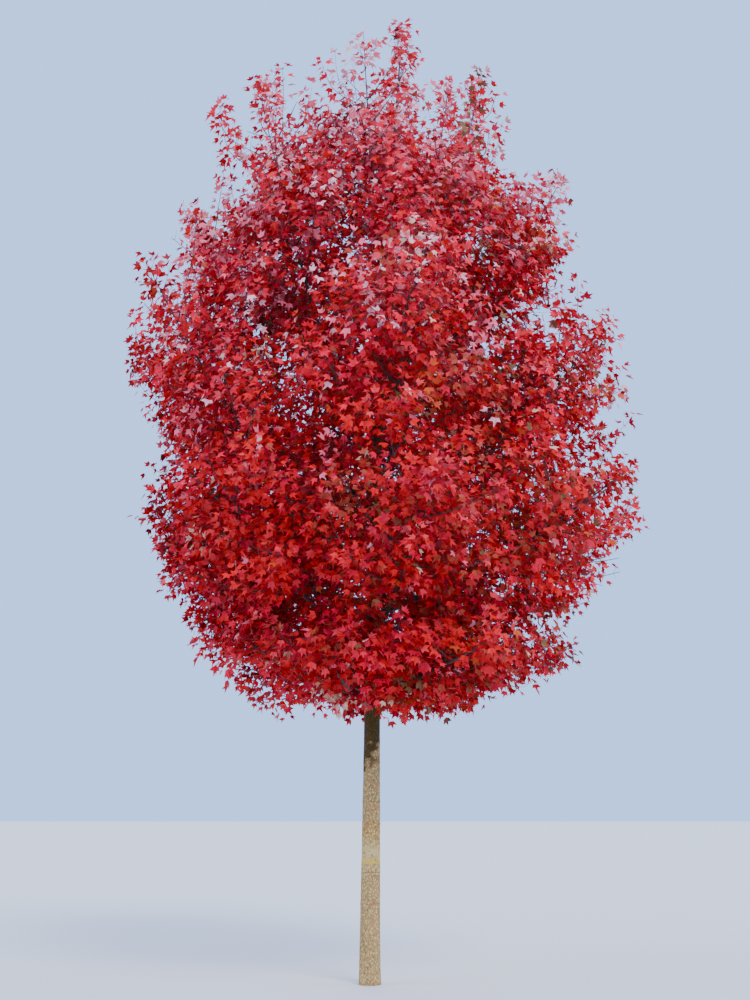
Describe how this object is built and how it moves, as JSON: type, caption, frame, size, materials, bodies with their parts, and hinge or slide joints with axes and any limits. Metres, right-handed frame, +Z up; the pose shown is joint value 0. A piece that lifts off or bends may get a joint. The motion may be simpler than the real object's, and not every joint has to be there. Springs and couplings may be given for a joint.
{
  "type": "freeman maple tree",
  "caption": "Young broadleaf tree in red autumn leaf: straight clear trunk, ascending boughs and an egg-shaped crown of leafy masses.",
  "frame": {"origin": "middle of the trunk's flat cut at ground level", "axes": "+Z up along the trunk; +X to the right and -Y towards the viewer in the picture"},
  "size_m": [5.3696, 5.087, 9.78],
  "materials": {
    "trunk_bark": "matt grey-tan bark",
    "bough_bark": "matt grey bark",
    "leaves": "matt red autumn leaves"
  },
  "bodies": {
    "root": {"trunk": "trunk_bark", "bough_lower_1": "bough_bark", "bough_lower_2": "bough_bark", "bough_lower_3": "bough_bark", "bough_lower_4": "bough_bark", "bough_lower_5": "bough_bark", "bough_lower_6": "bough_bark", "bough_lower_7": "bough_bark", "bough_mid_1": "bough_bark", "bough_mid_2": "bough_bark", "bough_mid_3": "bough_bark", "bough_mid_4": "bough_bark", "bough_mid_5": "bough_bark", "bough_mid_6": "bough_bark", "bough_skirt_1": "bough_bark", "bough_skirt_2": "bough_bark", "bough_skirt_3": "bough_bark", "bough_skirt_4": "bough_bark", "bough_skirt_5": "bough_bark", "bough_skirt_6": "bough_bark", "bough_top_1": "bough_bark", "bough_top_2": "bough_bark", "bough_top_3": "bough_bark", "bough_top_4": "bough_bark", "bough_upper_1": "bough_bark", "bough_upper_2": "bough_bark", "bough_upper_3": "bough_bark", "bough_upper_4": "bough_bark", "bough_upper_5": "bough_bark", "bough_upper_6": "bough_bark", "foliage_leader": "leaves", "foliage_lower_1": "leaves", "foliage_lower_2": "leaves", "foliage_lower_3": "leaves", "foliage_lower_4": "leaves", "foliage_lower_5": "leaves", "foliage_lower_6": "leaves", "foliage_lower_7": "leaves", "foliage_mid_1": "leaves", "foliage_mid_2": "leaves", "foliage_mid_3": "leaves", "foliage_mid_4": "leaves", "foliage_mid_5": "leaves", "foliage_mid_6": "leaves", "foliage_skirt_1": "leaves", "foliage_skirt_2": "leaves", "foliage_skirt_3": "leaves", "foliage_skirt_4": "leaves", "foliage_skirt_5": "leaves", "foliage_skirt_6": "leaves", "foliage_top_1": "leaves", "foliage_top_2": "leaves", "foliage_top_3": "leaves", "foliage_top_4": "leaves", "foliage_upper_1": "leaves", "foliage_upper_2": "leaves", "foliage_upper_3": "leaves", "foliage_upper_4": "leaves", "foliage_upper_5": "leaves", "foliage_upper_6": "leaves"}
  },
  "joints": []
}
